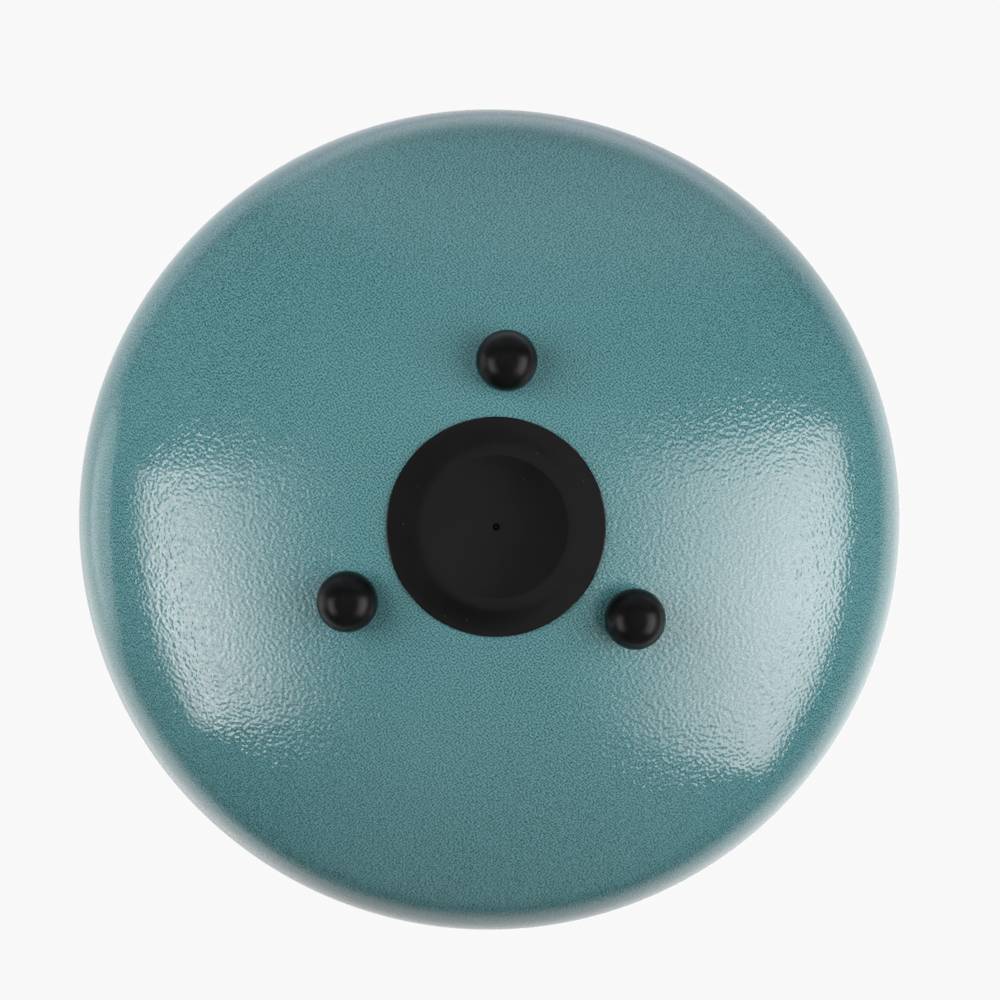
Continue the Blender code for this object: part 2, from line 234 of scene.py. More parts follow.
class Value:
    """An output socket that takes part in Python arithmetic; each operation adds a Math node."""

    def __init__(self, graph, socket):
        self.graph = graph
        self.socket = socket

    def math(self, operation, *numbers):
        return self.graph.node("ShaderNodeMath", {"operation": operation}, dict(enumerate(numbers)))

    def __add__(self, other):
        return self.math("ADD", self, other)

    def __sub__(self, other):
        return self.math("SUBTRACT", self, other)

    def __rsub__(self, other):
        return self.math("SUBTRACT", other, self)

    def __mul__(self, other):
        return self.math("MULTIPLY", self, other)

    def __lt__(self, other):
        return self.math("LESS_THAN", self, other)

    def __gt__(self, other):
        return self.math("GREATER_THAN", self, other)

    __radd__ = __add__
    __rmul__ = __mul__


class Graph:
    """A node tree that is built from expressions."""

    def __init__(self, tree):
        self.tree = tree
        tree.nodes.clear()

    def node(self, kind, settings=None, inputs=None, output=0):
        """Adds a node, sets it, fills or links its sockets and gives one of its outputs."""
        made = self.tree.nodes.new(kind)
        for name, setting in (settings or {}).items():
            if name == "stops":
                self.set_stops(made.color_ramp, setting)
            else:
                setattr(made, name, setting)
        for key, given in (inputs or {}).items():
            if isinstance(given, Value):
                self.tree.links.new(given.socket, made.inputs[key])
            else:
                made.inputs[key].default_value = given
        if made.outputs:
            return Value(self, made.outputs[output])
        return None

    def set_stops(self, ramp, stops):
        while len(ramp.elements) < len(stops):
            ramp.elements.new(1.0)
        for element, (position, tone) in zip(ramp.elements, stops):
            element.position = position
            element.color = (tone, tone, tone, 1.0)

    def vector(self, operation, *vectors, output="Vector"):
        """Vector maths; lengths and dot products come from the output Value."""
        return self.node("ShaderNodeVectorMath", {"operation": operation}, dict(enumerate(vectors)), output)

    def mix(self, factor, first, second):
        """Mixes two colours."""
        return self.node("ShaderNodeMix", {"data_type": "RGBA"}, {0: factor, 6: first, 7: second}, 2)

    def noise(self, place, scale, detail=0.0, roughness=0.5, distortion=0.0):
        sockets = {"Vector": place, "Scale": scale, "Detail": detail}
        sockets.update({"Roughness": roughness, "Distortion": distortion})
        return self.node("ShaderNodeTexNoise", {}, sockets)

    def spots(self, place, scale, apart):
        """Noise less its mean a little way off to four sides, which leaves fine spots round 0."""
        around = 0.0
        for side in ((apart, 0.0, 0.0), (-apart, 0.0, 0.0), (0.0, apart, 0.0), (0.0, -apart, 0.0)):
            around = self.noise(self.vector("ADD", place, side), scale) + around
        return self.noise(place, scale) - around * 0.25

    def off_axis(self, place):
        """Distance from the drum's axis."""
        return self.vector("LENGTH", self.vector("MULTIPLY", place, (1.0, 1.0, 0.0)), output="Value")

    def step(self, number, low, high):
        """Goes softly from 0 at low to 1 at high."""
        settings = {"interpolation_type": "SMOOTHSTEP"}
        return self.node("ShaderNodeMapRange", settings, {"Value": number, "From Min": low, "From Max": high})

    def place(self):
        return self.node("ShaderNodeTexCoord", output="Object")

    def along(self, vector, axis):
        """One of a vector's three numbers."""
        return self.node("ShaderNodeSeparateXYZ", {}, {0: vector}, axis)

    def bump(self, height, distance):
        return self.node("ShaderNodeBump", {}, {"Height": height, "Distance": distance})


def opaque(tone):
    return (*tone, 1.0)


def tinted(tone, tint):
    """A colour with its channels scaled."""
    return opaque(channel * scale for channel, scale in zip(tone, tint))


def new_material(name):
    """A new material and the graph of its nodes."""
    material = bpy.data.materials.new(name)
    material.use_nodes = True
    return material, Graph(material.node_tree)


def material_of(name):
    """One of the finishes, made at its first use."""
    material = bpy.data.materials.get(name)
    if material is None:
        material, graph = new_material(name)
        sockets = FINISHES[name](graph, graph.place(), bpy.context.scene.drum_finish)
        shader = graph.node("ShaderNodeBsdfPrincipled", {}, sockets)
        graph.node("ShaderNodeOutputMaterial", {}, {"Surface": shader})
    return material


# Finishes, each as the sockets of its shader


def hammer_paint(graph, place, finish):
    """Glossy two-tone hammer paint: fine dark veins round pale grains, with orange peel in its skin."""
    vein_scale = 1550.0
    vein_reach = 0.55 * MM
    vein_low = -0.31
    vein_high = 0.27
    vein_gloss = 0.40
    drift_scale = 16.0
    drift_share = 0.12
    drift_tone = 0.94
    olive_scale = 1300.0
    olive_share = 0.3
    olive_tint = (1.0, 0.8, 0.6)
    peel_scale = 740.0
    calm_start = 112.0 * MM
    calm_end = 131.0 * MM
    calm_share = 0.70

    light = finish.paint_light
    pale = graph.step(graph.spots(place, vein_scale, vein_reach), vein_low, vein_high)
    tone = graph.mix(pale, opaque(finish.paint_dark), opaque(light))
    drift = graph.step(graph.noise(place, drift_scale, 2.0), 0.30, 0.70)
    tone = graph.mix(drift * drift_share, tone, opaque(light * drift_tone))
    olive = graph.step(graph.noise(place, olive_scale), 0.55, 0.75)
    tone = graph.mix(olive * olive_share, tone, tinted(light, olive_tint))
    calm = graph.step(graph.off_axis(place), calm_start, calm_end)
    peel = (graph.noise(place, peel_scale) - 0.5) * (1.0 - calm * calm_share)
    return {
        "Base Color": tone,
        "Roughness": finish.paint_roughness,
        "Coat Weight": (1.0 - pale) * vein_gloss,
        "Coat Roughness": finish.paint_roughness,
        "Normal": graph.bump(peel, finish.paint_peel),
    }


def bare_steel(graph, place, finish):
    """Unpainted inside of the sheet, with the dull streaks and heat tint of pressed steel."""
    streak_scale = 60.0
    streak_height = 0.05 * MM
    stain_scale = 22.0
    stain_share = 0.5
    stain_tint = (0.75, 0.58, 0.45)

    clean = finish.bare_steel
    streaks = graph.noise(place, streak_scale, 4.0, 0.6, 1.0)
    stains = graph.step(graph.noise(place, stain_scale, 3.0), 0.45, 0.70)
    return {
        "Base Color": graph.mix(stains * stain_share, opaque(clean), tinted(clean, stain_tint)),
        "Metallic": 0.85,
        "Roughness": 0.38 + streaks * 0.25,
        "Normal": graph.bump(streaks, streak_height),
    }


PLUG_SKIN = SimpleNamespace(
    cloud_scale=55.0,
    cloud_start=0.35,
    wear=1.5,
    speck_scale=240.0,
    speck_size=0.055,
    speck_rarity=0.72,
    roughness=0.09,
    roughening=0.05,
    shine=0.25,
    grain_scale=2600.0,
    grain_height=0.012 * MM,
)

RUBBER_SKIN = SimpleNamespace(
    cloud_scale=130.0,
    cloud_start=0.40,
    wear=1.7,
    speck_scale=420.0,
    speck_size=0.06,
    speck_rarity=0.86,
    roughness=0.26,
    roughening=0.08,
    shine=0.12,
    grain_scale=1900.0,
    grain_height=0.015 * MM,
)


def plug_plastic(graph, place, finish):
    """Satin moulded plastic."""
    return dusty_black(graph, place, finish.plug_black, finish.dust, PLUG_SKIN)


def foot_rubber(graph, place, finish):
    """Dense rubber with a soft shine."""
    return dusty_black(graph, place, finish.rubber_black, finish.dust, RUBBER_SKIN)


def dusty_black(graph, place, black, dust, skin):
    """Black that is worn paler in clouds, with a fine grain and a few specks of dust."""
    grain = graph.noise(place, skin.grain_scale, 2.0, 0.6)
    cloud = graph.noise(place, skin.cloud_scale, 3.0, 0.6)
    tone = graph.mix(graph.step(cloud, skin.cloud_start, 0.75), opaque(black), opaque(black * skin.wear))
    specks = dust_specks(graph, place, skin.speck_scale, skin.speck_size, skin.speck_rarity)
    return {
        "Base Color": graph.mix(specks, tone, opaque(dust)),
        "Roughness": skin.roughness + cloud * skin.roughening,
        "Specular IOR Level": skin.shine,
        "Normal": graph.bump(grain, skin.grain_height),
    }


def dust_specks(graph, place, scale, size, rarity):
    """How much dust there is: small round specks, at most one in a cell of the pattern."""
    thickness = 0.25
    settings = {"feature": "F1"}
    sockets = {"Vector": place, "Scale": scale}
    near = graph.node("ShaderNodeTexVoronoi", settings, sockets, "Distance")
    lot = graph.node("ShaderNodeTexVoronoi", settings, sockets, "Color")
    drawn = graph.node("ShaderNodeSeparateColor", {}, {0: lot})
    return (near < size) * (drawn > rarity) * thickness


def zinc_plate(graph, place, finish):
    """Bright zinc plating with a cloudy bloom."""
    bloom_scale = 350.0
    bloom_height = 0.02 * MM
    bloom_tone = 0.7

    bloom = graph.noise(place, bloom_scale, 3.0, 0.6)
    cloudy = graph.step(bloom, 0.40, 0.70)
    return {
        "Base Color": graph.mix(cloudy, opaque(finish.zinc), opaque(finish.zinc * bloom_tone)),
        "Metallic": 1.0,
        "Roughness": 0.26 + bloom * 0.22,
        "Normal": graph.bump(bloom, bloom_height),
    }


FINISHES = {
    "teal_hammer_paint": hammer_paint,
    "bare_pressed_steel": bare_steel,
    "black_moulded_plug": plug_plastic,
    "black_foot_rubber": foot_rubber,
    "zinc_plated_steel": zinc_plate,
}


# Shapes


class Pen:
    """Draws a chain of edges from point to point, in the plane of a half section or of a plan."""

    def __init__(self, spin_axis, first, second):
        self.mesh = bmesh.new()
        self.axis = Vector(spin_axis)
        self.tip = self.mesh.verts.new(self.point(first, second))
        self.start = self.tip

    def point(self, first, second):
        if self.axis.z:
            return Vector((first, second, 0.0))
        return Vector((first, 0.0, second))

    def line(self, first, second):
        made = bmesh.ops.extrude_vert_indiv(self.mesh, verts=[self.tip])
        self.tip = made["verts"][0]
        self.tip.co = self.point(first, second)

    def arc(self, centre, turn, steps):
        """Goes round a centre by an angle."""
        made = bmesh.ops.spin(
            self.mesh, geom=[self.tip], cent=self.point(*centre), axis=self.axis, angle=turn, steps=steps
        )
        self.tip = next(part for part in made["geom_last"] if isinstance(part, bmesh.types.BMVert))

    def close(self):
        self.mesh.edges.new((self.tip, self.start))

    def turn(self, steps):
        """Turns the section round Z into a body with its faces outwards."""
        geom = self.mesh.verts[:] + self.mesh.edges[:]
        bmesh.ops.spin(
            self.mesh, geom=geom, axis=(0.0, 0.0, 1.0), angle=2 * math.pi, steps=steps, use_merge=True
        )
        tidy(self.mesh)
        return self.mesh

    def raise_plan(self, bottom, top):
        """Fills the closed plan and raises it into a prism."""
        bmesh.ops.contextual_create(self.mesh, geom=self.mesh.edges[:])
        bmesh.ops.translate(self.mesh, verts=self.mesh.verts[:], vec=(0.0, 0.0, bottom))
        made = bmesh.ops.extrude_face_region(self.mesh, geom=self.mesh.faces[:])
        lifted = [part for part in made["geom"] if isinstance(part, bmesh.types.BMVert)]
        bmesh.ops.translate(self.mesh, verts=lifted, vec=(0.0, 0.0, top - bottom))
        tidy(self.mesh)
        return self.mesh


def section(radius, height):
    return Pen((0.0, 1.0, 0.0), radius, height)


def plan(x, y):
    return Pen((0.0, 0.0, 1.0), x, y)


def tidy(mesh):
    bmesh.ops.remove_doubles(mesh, verts=mesh.verts[:], dist=MERGE_DISTANCE)
    bmesh.ops.recalc_face_normals(mesh, faces=mesh.faces[:])


def soften(mesh, edges, offset, segments):
    bmesh.ops.bevel(
        mesh,
        geom=edges,
        offset=offset,
        offset_type="OFFSET",
        affect="EDGES",
        segments=segments,
        profile=0.5,
        material=-1,
    )


def sharp_edges(mesh, fits=None, least=CORNER_ANGLE):
    """Sharp edges, of which both ends fit where a test is given."""
    edges = [edge for edge in mesh.edges if edge.calc_face_angle(0.0) > least]
    if fits is None:
        return edges
    return [edge for edge in edges if all(fits(vert.co) for vert in edge.verts)]


def smooth(data):
    """Shades a mesh smooth but for its sharp edges."""
    data.shade_smooth()
    data.set_sharp_from_angle(angle=SHARP_ANGLE)


def add_piece(name, mesh, *finishes):
    """Makes an object of a bmesh."""
    data = bpy.data.meshes.new(name)
    mesh.to_mesh(data)
    mesh.free()
    for finish in finishes:
        data.materials.append(material_of(finish))
    smooth(data)
    piece = bpy.data.objects.new(name, data)
    bpy.context.scene.collection.objects.link(piece)
    return piece


def cut(piece, tool):
    """Cuts a tool's shape out of a piece for good, and takes the tool away."""
    cutter = bpy.data.objects.new("cutter", bpy.data.meshes.new("cutter"))
    tool.to_mesh(cutter.data)
    tool.free()
    bpy.context.scene.collection.objects.link(cutter)
    modifier = piece.modifiers.new("Cut", "BOOLEAN")
    modifier.operation = "DIFFERENCE"
    modifier.solver = "EXACT"
    modifier.object = cutter
    graph = bpy.context.evaluated_depsgraph_get()
    whole = piece.data
    data = bpy.data.meshes.new_from_object(piece.evaluated_get(graph))
    piece.modifiers.clear()
    piece.data = data
    bpy.data.meshes.remove(whole)
    bpy.data.meshes.remove(cutter.data)
    if not data.polygons:
        raise RuntimeError(f"the cut left nothing of {piece.name}")
    data.name = piece.name
    smooth(data)


def dress(piece, body, slot, *nodes):
    """Rides a piece on its body, in place of its solids."""
    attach(piece, body)
    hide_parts(*nodes)


# Pieces


class Form:
    """Heights and angles of the domes, worked out from their sizes."""

    def __init__(self, scene):
        self.domes = scene.drum_domes
        self.feet = scene.drum_feet
        domes = self.domes
        reach = domes.crown_radius - domes.knuckle_radius
        self.tangent = math.asin((domes.outer_radius - domes.knuckle_radius) / reach)
        drop = reach * math.cos(self.tangent)
        self.seam = domes.seam_height
        self.upper_centre = self.seam + domes.rim_land - drop
        self.lower_centre = self.seam - domes.rim_land + drop
        self.lower_pole = self.lower_centre - domes.crown_radius
        self.upper_pole = self.upper_centre + domes.crown_radius

    def dome_mesh(self, side, hole_radius):
        """A dome turned from its section: side is 1 for the upper one and -1 for the lower one."""
        domes = self.domes
        centre = (0.0, self.upper_centre if side > 0 else self.lower_centre)
        knuckle = (domes.outer_radius - domes.knuckle_radius, self.seam + side * domes.rim_land)
        quarter = math.pi / 2 - self.tangent
        first = math.asin(hole_radius / domes.crown_radius)
        last = math.asin(hole_radius / (domes.crown_radius - domes.sheet))
        lip = domes.rim_round
        lip_centre = (domes.outer_radius - lip, self.seam + side * (lip + GAP / 2))
        inner = domes.outer_radius - domes.sheet

        pen = section(hole_radius, centre[1] + side * domes.crown_radius * math.cos(first))
        pen.arc(centre, side * (self.tangent - first), CROWN_STEPS)
        pen.arc(knuckle, side * quarter, KNUCKLE_STEPS)
        pen.line(domes.outer_radius, lip_centre[1])
        pen.arc(lip_centre, side * math.pi / 2, LIP_STEPS)
        pen.line(inner, self.seam + side * GAP / 2)
        pen.line(inner, knuckle[1])
        pen.arc(knuckle, -side * quarter, KNUCKLE_STEPS // 2)
        pen.arc(centre, -side * (self.tangent - last), CROWN_STEPS // 2)
        if hole_radius:
            pen.close()
        mesh = pen.turn(DOME_STEPS)
        middle = Vector((0.0, 0.0, self.seam))
        for face in mesh.faces:
            if face.normal.dot(face.calc_center_median() - middle) < 0.0:
                face.material_index = 1
        return mesh

    def on_upper_dome(self, x, y):
        return self.upper_centre + math.sqrt(self.domes.crown_radius**2 - x * x - y * y)

    def foot_matrix(self, place):
        """Frame of a foot: origin on the shell's outer face, +Z square to the shell and into the drum."""
        tilt = math.asin(self.feet.circle_radius / (self.domes.crown_radius + self.feet.stand_off))
        turn = Euler((0.0, -tilt, math.radians(FOOT_AZIMUTHS[place]))).to_matrix()
        origin = Vector((0.0, 0.0, self.lower_centre)) - turn @ Vector((0.0, 0.0, self.domes.crown_radius))
        return Matrix.Translation(origin) @ turn.to_4x4()


class DRUM_OT_lower_dome(bpy.types.Operator):
    """Press the lower dome, with its sound hole and the holes for the feet"""

    bl_idname = "drum.lower_dome"
    bl_label = "Lower dome"

    hole_steps = 32
    hole_reach = 6.0 * MM
    edge_round = 0.35 * MM

    def execute(self, context):
        form = Form(context.scene)
        hole = form.domes.sound_hole_radius
        mesh = form.dome_mesh(-1, hole)
        near_hole = hole + form.domes.sheet / 2
        edges = sharp_edges(mesh, lambda spot: spot.xy.length < near_hole)
        soften(mesh, edges, self.edge_round, segments=3)
        piece = add_piece("lower_dome", mesh, *SHEET_FACES)
        for place in FOOT_AZIMUTHS:
            tool = bmesh.new()
            bmesh.ops.create_cone(
                tool,
                cap_ends=True,
                segments=self.hole_steps,
                radius1=form.feet.stud_radius + GAP,
                radius2=form.feet.stud_radius + GAP,
                depth=2 * self.hole_reach,
                matrix=form.foot_matrix(place),
            )
            cut(piece, tool)
        dress(piece, "drum", "hammer_paint", "lower_shell")
        return {"FINISHED"}


class DRUM_OT_upper_dome(bpy.types.Operator):
    """Press the upper dome and cut the slits of the tongues out of it"""

    bl_idname = "drum.upper_dome"
    bl_label = "Upper dome"

    tip_steps = 30
    relief_steps = 18
    margin = 8.0 * MM

    def execute(self, context):
        form = Form(context.scene)
        sizes = context.scene.drum_tongues
        piece = add_piece("upper_dome", form.dome_mesh(1, 0.0), *SHEET_FACES)
        slits = bmesh.new()
        for index in range(sizes.count):
            slit = self.slit(form, Tongue(sizes, index))
            passing = bpy.data.meshes.new("slit")
            slit.to_mesh(passing)
            slit.free()
            slits.from_mesh(passing)
            bpy.data.meshes.remove(passing)
        cut(piece, slits)
        dress(piece, "drum", "hammer_paint", "upper_shell")
        return {"FINISHED"}

    def slit(self, form, tongue):
        """Prism through the dome: a tongue's outline grown by the slit, with the relief holes at its root."""
        grown = tongue.end_radius + tongue.slit
        opening = math.pi / 2 + tongue.flare
        tip = tongue.root + tongue.tip_centre
        inside = tongue.relief_centre - tongue.relief_radius
        meet_out, meet_side = tongue.relief_meets_slit()
        sweep = math.atan2(-meet_side, meet_out) + 2 * math.pi - math.pi / 2

        pen = plan(tongue.root, -inside)
        pen.arc((tongue.root, -tongue.relief_centre), sweep, self.relief_steps)
        pen.line(tip + grown * math.cos(opening), -grown * math.sin(opening))
        pen.arc((tip, 0.0), 2 * opening, self.tip_steps)
        pen.line(tongue.root + meet_out, tongue.relief_centre + meet_side)
        pen.arc((tongue.root, tongue.relief_centre), sweep, self.relief_steps)
        pen.close()
        prism = pen.raise_plan(form.seam + self.margin, form.upper_pole + self.margin)
        bmesh.ops.rotate(prism, verts=prism.verts[:], matrix=Matrix.Rotation(tongue.azimuth, 3, "Z"))
        return prism


class Tongue:
    """Plan of one tongue, in distances outward from its root line and sideways from its middle."""

    front = math.radians(-90.0)

    def __init__(self, sizes, index):
        part = index / max(1, sizes.count - 1)
        places = (index + 1) // 2
        side = 1 if index % 2 else -1
        self.name = f"tongue_{index + 1}"
        self.azimuth = self.front + side * places * 2 * math.pi / sizes.count
        self.root = sizes.root_radius
        reach = sizes.longest + (sizes.shortest - sizes.longest) * part
        self.end_radius = sizes.end_largest + (sizes.end_smallest - sizes.end_largest) * part
        self.tip_centre = reach - self.end_radius
        self.flare = sizes.flare
        self.slit = sizes.slit
        self.relief_radius = sizes.relief_radius
        self.relief_centre = self.side(0.0, sizes.slit / 2)

    def side(self, outward, grow=0.0):
        """Half width between the straight sides."""
        narrowing = (self.tip_centre - outward) * math.sin(self.flare)
        return (self.end_radius + grow - narrowing) / math.cos(self.flare)

    def half_width(self, outward):
        """Half width of the tongue itself, with the relief holes' bite and the start of its round end."""
        if outward < self.relief_radius:
            bite = self.relief_centre - math.sqrt(self.relief_radius**2 - outward**2)
            return min(bite, self.side(outward))
        if outward > self.tip_centre - self.end_radius * math.sin(self.flare):
            return math.sqrt(self.end_radius**2 - (outward - self.tip_centre) ** 2)
        return self.side(outward)

    def relief_meets_slit(self):
        """Where the relief hole runs into the slit's far side, from the hole's centre."""
        apart = self.side(0.0, self.slit) - self.relief_centre
        slope = math.tan(self.flare)
        square = 1 + slope * slope
        root = (apart * slope) ** 2 - square * (apart * apart - self.relief_radius**2)
        outward = (math.sqrt(root) - apart * slope) / square
        return outward, apart + outward * slope

    def on_plan(self, outward, sideways):
        turn = Matrix.Rotation(self.azimuth, 2)
        return turn @ Vector((self.root + outward, sideways))


class DRUM_OT_tongues(bpy.types.Operator):
    """Cut the sounding tongues"""

    bl_idname = "drum.tongues"
    bl_label = "Tongues"

    columns = 14
    bite_rows = 6
    straight_rows = 22
    tip_rows = 8
    inward = -0.5

    def execute(self, context):
        form = Form(context.scene)
        sizes = context.scene.drum_tongues
        for index in range(sizes.count):
            tongue = Tongue(sizes, index)
            mesh = self.sheet(form, tongue)
            self.thicken(mesh, form, tongue, sizes.edge_round)
            piece = add_piece(f"sounding_{tongue.name}", mesh, *SHEET_FACES)
            start = tongue.on_plan(0.0, 0.0)
            end = tongue.on_plan(sizes.bend_length, 0.0)
            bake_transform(piece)
            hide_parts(tongue.name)
        return {"FINISHED"}

    def rows(self, tongue):
        """Distances out from the root, close together at the bite of the relief holes."""
        relief = tongue.relief_radius
        run = tongue.tip_centre - relief
        bite = [relief * math.sin(math.pi / 2 * i / self.bite_rows) for i in range(self.bite_rows)]
        straight = [relief + run * i / self.straight_rows for i in range(self.straight_rows + 1)]
        return bite + straight

    def sheet(self, form, tongue):
        """The outer face: a grid laid along the tongue, its last rows bent into the round end."""
        rows = self.rows(tongue)
        last = len(rows) - 1
        total = last + self.tip_rows
        mesh = bmesh.new()
        bmesh.ops.create_grid(mesh, x_segments=self.columns, y_segments=total, size=1.0)
        for vert in mesh.verts:
            across = vert.co.x
            row = round((vert.co.y + 1.0) / 2.0 * total)
            if row <= last:
                outward = rows[row]
                sideways = across * tongue.half_width(outward)
            else:
                beyond = (row - last) / self.tip_rows
                outward = tongue.tip_centre + tongue.end_radius * beyond * math.sqrt(1 - across**2 / 2)
                sideways = tongue.end_radius * across * math.sqrt(1 - beyond**2 / 2)
            spot = tongue.on_plan(outward, sideways)
            vert.co = (spot.x, spot.y, form.on_upper_dome(*spot))
        bmesh.ops.recalc_face_normals(mesh, faces=mesh.faces[:])
        return mesh

    def thicken(self, mesh, form, tongue, edge_round):
        """Gives the sheet its thickness inwards and rounds every edge but those at the root."""
        made = bmesh.ops.extrude_face_region(mesh, geom=mesh.faces[:])
        inner = [part for part in made["geom"] if isinstance(part, bmesh.types.BMVert)]
        ratio = 1.0 - form.domes.sheet / form.domes.crown_radius
        bmesh.ops.scale(
            mesh,
            verts=inner,
            vec=(ratio, ratio, ratio),
            space=Matrix.Translation((0.0, 0.0, -form.upper_centre)),
        )
        tidy(mesh)
        centre = Vector((0.0, 0.0, form.upper_centre))
        outward = Vector((*tongue.on_plan(1.0 - tongue.root, 0.0), 0.0))
        for face in mesh.faces:
            if face.normal.dot((face.calc_center_median() - centre).normalized()) < self.inward:
                face.material_index = 1
        past_root = tongue.root + edge_round / 2
        edges = [
            edge
            for edge in sharp_edges(mesh)
            if any(vert.co.dot(outward) > past_root for vert in edge.verts)
        ]
        soften(mesh, edges, edge_round, segments=2)


class DRUM_OT_rim_weld(bpy.types.Operator):
    """Lay the weld bead into the groove between the two rims"""

    bl_idname = "drum.rim_weld"
    bl_label = "Rim weld"

    steps = 432
    bead_steps = 8
    ripples = 173
    slow_ripples = 23

    def execute(self, context):
        form = Form(context.scene)
        domes = form.domes
        half = domes.weld_width / 2
        face = domes.outer_radius - domes.weld_sink
        back = face - domes.rim_round
        bulge = face - back
        radius = (half * half + bulge * bulge) / (2 * bulge)
        centre = (face - radius, form.seam)
        opening = math.asin(half / radius)
        pen = section(back, form.seam + half)
        pen.arc(centre, 2 * opening, self.bead_steps)
        pen.line(domes.outer_radius - domes.sheet, form.seam)
        pen.close()
        mesh = pen.turn(self.steps)
        for vert in mesh.verts:
            turn = math.atan2(vert.co.y, vert.co.x)
            lap = math.sin(self.ripples * turn + math.sin(self.slow_ripples * turn))
            reach = max(0.0, (vert.co.xy.length - back) / bulge)
            vert.co.xy *= 1.0 + domes.weld_ripple * lap * reach / domes.outer_radius
        piece = add_piece("rim_weld", mesh, "teal_hammer_paint")
        dress(piece, "drum", "hammer_paint", "seam_weld")
        return {"FINISHED"}


class DRUM_OT_plug(bpy.types.Operator):
    """Mould the plug that closes the sound hole"""

    bl_idname = "drum.plug"
    bl_label = "Plug"

    steps = 144
    edge_steps = 5
    dish_steps = 14
    nub_radius = 0.45 * MM
    nub_taper = 0.7
    nub_rise = 0.18 * MM
    fillet = 3.4 * MM
    fillet_steps = 6

    def execute(self, context):
        form = Form(context.scene)
        sizes = context.scene.drum_plug
        crown = form.domes.crown_radius

        def shell_at(radius):
            return form.lower_centre - math.sqrt(crown**2 - radius**2)

        skirt = form.domes.sound_hole_radius - sizes.skirt_clearance
        skirt_inner = skirt - sizes.skirt_wall
        under_skirt = shell_at(skirt) - GAP
        under_edge = shell_at(sizes.radius) - GAP
        edge_face = under_edge - sizes.edge
        flange_face = edge_face - sizes.flange_drop
        disc_face = flange_face - sizes.shoulder_step
        dish_floor = disc_face + sizes.dish_depth
        reach = form.lower_pole + sizes.skirt_reach
        dish_radius = (sizes.shoulder_radius**2 + sizes.dish_depth**2) / (2 * sizes.dish_depth)
        gate_floor = dish_floor + sizes.gate_depth
        edge_in = sizes.radius - sizes.edge_round
        dish_turn = math.asin(sizes.gate_radius / dish_radius)
        dish_turn -= math.asin(sizes.shoulder_radius / dish_radius)

        pen = section(0.0, dish_floor + sizes.wall)
        pen.line(skirt_inner, under_skirt)
        pen.line(skirt_inner, reach)
        pen.line(skirt - GAP, reach)
        pen.line(skirt, reach - sizes.skirt_lead)
        pen.line(skirt, under_skirt)
        pen.line(edge_in, under_edge)
        pen.arc((edge_in, under_edge - sizes.edge_round), math.pi / 2, self.edge_steps)
        pen.line(sizes.radius, edge_face + sizes.edge_round)
        pen.arc((edge_in, edge_face + sizes.edge_round), math.pi / 2, self.edge_steps)
        pen.line(sizes.flange_inner_radius, flange_face)
        pen.line(sizes.shoulder_radius, disc_face)
        pen.arc((0.0, dish_floor - dish_radius), dish_turn, self.dish_steps)
        pen.line(self.nub_radius, gate_floor)
        pen.line(self.nub_radius * self.nub_taper, gate_floor - self.nub_rise)
        pen.line(0.0, gate_floor - self.nub_rise)
        mesh = pen.turn(self.steps)
        shoulder = [
            edge
            for edge in mesh.edges
            if all(self.on_ring(vert, sizes, flange_face, disc_face) for vert in edge.verts)
            and abs(edge.verts[0].co.z - edge.verts[1].co.z) < MERGE_DISTANCE
        ]
        soften(mesh, shoulder, self.fillet, self.fillet_steps)
        piece = add_piece("sound_hole_plug", mesh, "black_moulded_plug")
        dress(piece, "plug", "plug_plastic", "plug")
        return {"FINISHED"}

    def on_ring(self, vert, sizes, flange_face, disc_face):
        """True on the two corners of the shoulder."""
        near = 5 * MERGE_DISTANCE
        spot = Vector((vert.co.xy.length, vert.co.z))
        corners = ((sizes.flange_inner_radius, flange_face), (sizes.shoulder_radius, disc_face))
        return any((spot - Vector(corner)).length < near for corner in corners)


class DRUM_OT_ball_feet(bpy.types.Operator):
    """Mould the rubber ball feet"""

    bl_idname = "drum.ball_feet"
    bl_label = "Ball feet"

    steps = 72
    ball_steps = 40
    seat_angle = 0.5
    seat_round = 0.3 * MM

    def execute(self, context):
        form = Form(context.scene)
        feet = form.feet
        gap = feet.seat_gap
        pocket = feet.head_radius + gap
        pocket_top = -feet.head_depth + gap
        pocket_floor = -feet.head_depth - feet.head_height - gap
        bore = feet.stud_radius + gap
        seat = math.acos((feet.stand_off - gap) / feet.ball_radius)

        def on_seat(spot):
            return abs(spot.z + gap) < MERGE_DISTANCE and spot.xy.length > pocket

        for place in FOOT_AZIMUTHS:
            pen = section(0.0, pocket_floor)
            pen.line(pocket, pocket_floor)
            pen.line(pocket, pocket_top)
            pen.line(bore, pocket_top)
            pen.line(bore, -gap)
            pen.line(feet.ball_radius * math.sin(seat), -gap)
            pen.arc((0.0, -feet.stand_off), math.pi - seat, self.ball_steps)
            mesh = pen.turn(self.steps)
            seat_edges = sharp_edges(mesh, on_seat, self.seat_angle)
            soften(mesh, seat_edges, self.seat_round, segments=3)
            bmesh.ops.transform(mesh, matrix=form.foot_matrix(place), verts=mesh.verts[:])
            for vert in mesh.verts:
                vert.co.z = (vert.co.z + math.hypot(vert.co.z, feet.tread_softness)) / 2
            piece = add_piece(f"ball_foot_{place}", mesh, "black_foot_rubber")
            dress(piece, "drum", "foot_rubber", f"foot_{place}")
        return {"FINISHED"}


